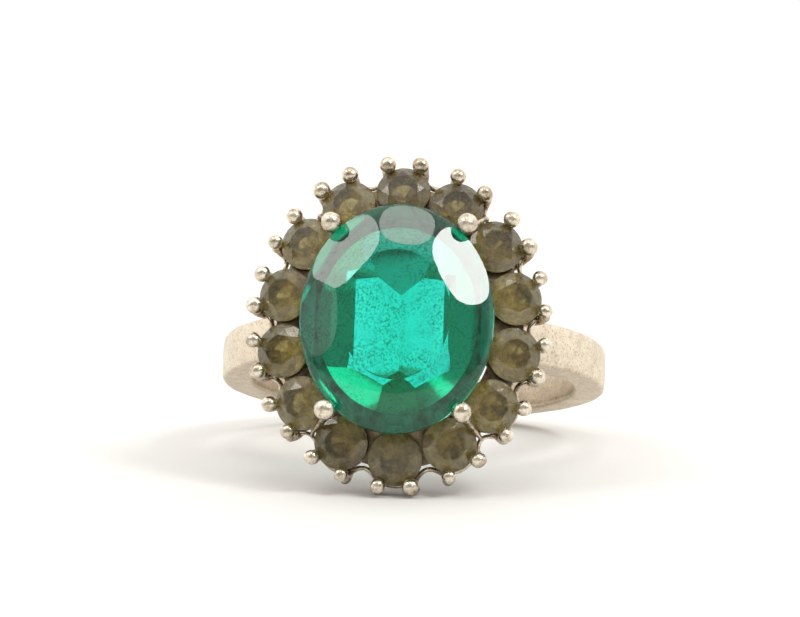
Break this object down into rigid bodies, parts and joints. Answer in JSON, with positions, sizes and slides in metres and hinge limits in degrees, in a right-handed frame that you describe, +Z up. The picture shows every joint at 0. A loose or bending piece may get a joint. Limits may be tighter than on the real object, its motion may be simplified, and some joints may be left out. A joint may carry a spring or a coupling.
{
  "type": "cocktail ring",
  "caption": "Cluster cocktail ring with a large oval green stone in claws, a halo of small round stones in paired claws and a plain tapering shank.",
  "frame": {"origin": "centre of the bounding box's base, on the table the ring lies on", "axes": "+Z up from the table, -Y the way the face of the head looks (it is tilted 21 degrees upwards), +X to the right across the finger"},
  "size_m": [0.0206, 0.0248, 0.0168],
  "materials": {
    "ring_metal": "worn warm silver, finely scratched",
    "centre_glass": "polished facets, emerald green",
    "halo_glass": "dulled facets, smoky grey-brown"
  },
  "bodies": {
    "root": {"shank": "ring_metal", "lower_gallery_ring": "ring_metal", "gallery_rail": "ring_metal", "centre_seat": "ring_metal", "centre_claw_1": "ring_metal", "centre_claw_2": "ring_metal", "centre_claw_3": "ring_metal", "centre_claw_4": "ring_metal", "halo_claw_01": "ring_metal", "halo_claw_02": "ring_metal", "halo_claw_03": "ring_metal", "halo_claw_04": "ring_metal", "halo_claw_05": "ring_metal", "halo_claw_06": "ring_metal", "halo_claw_07": "ring_metal", "halo_claw_08": "ring_metal", "halo_claw_09": "ring_metal", "halo_claw_10": "ring_metal", "halo_claw_11": "ring_metal", "halo_claw_12": "ring_metal", "halo_claw_13": "ring_metal", "halo_claw_14": "ring_metal", "halo_claw_15": "ring_metal", "halo_claw_16": "ring_metal", "halo_claw_17": "ring_metal", "halo_claw_18": "ring_metal", "halo_claw_19": "ring_metal", "halo_claw_20": "ring_metal", "halo_claw_21": "ring_metal", "halo_claw_22": "ring_metal", "halo_claw_23": "ring_metal", "halo_claw_24": "ring_metal", "halo_claw_25": "ring_metal", "halo_claw_26": "ring_metal", "halo_claw_27": "ring_metal", "halo_claw_28": "ring_metal", "accent_stone_01": "halo_glass", "accent_stone_02": "halo_glass", "accent_stone_03": "halo_glass", "accent_stone_04": "halo_glass", "accent_stone_05": "halo_glass", "accent_stone_06": "halo_glass", "accent_stone_07": "halo_glass", "accent_stone_08": "halo_glass", "accent_stone_09": "halo_glass", "accent_stone_10": "halo_glass", "accent_stone_11": "halo_glass", "accent_stone_12": "halo_glass", "accent_stone_13": "halo_glass", "accent_stone_14": "halo_glass", "centre_stone": "centre_glass"}
  },
  "joints": []
}
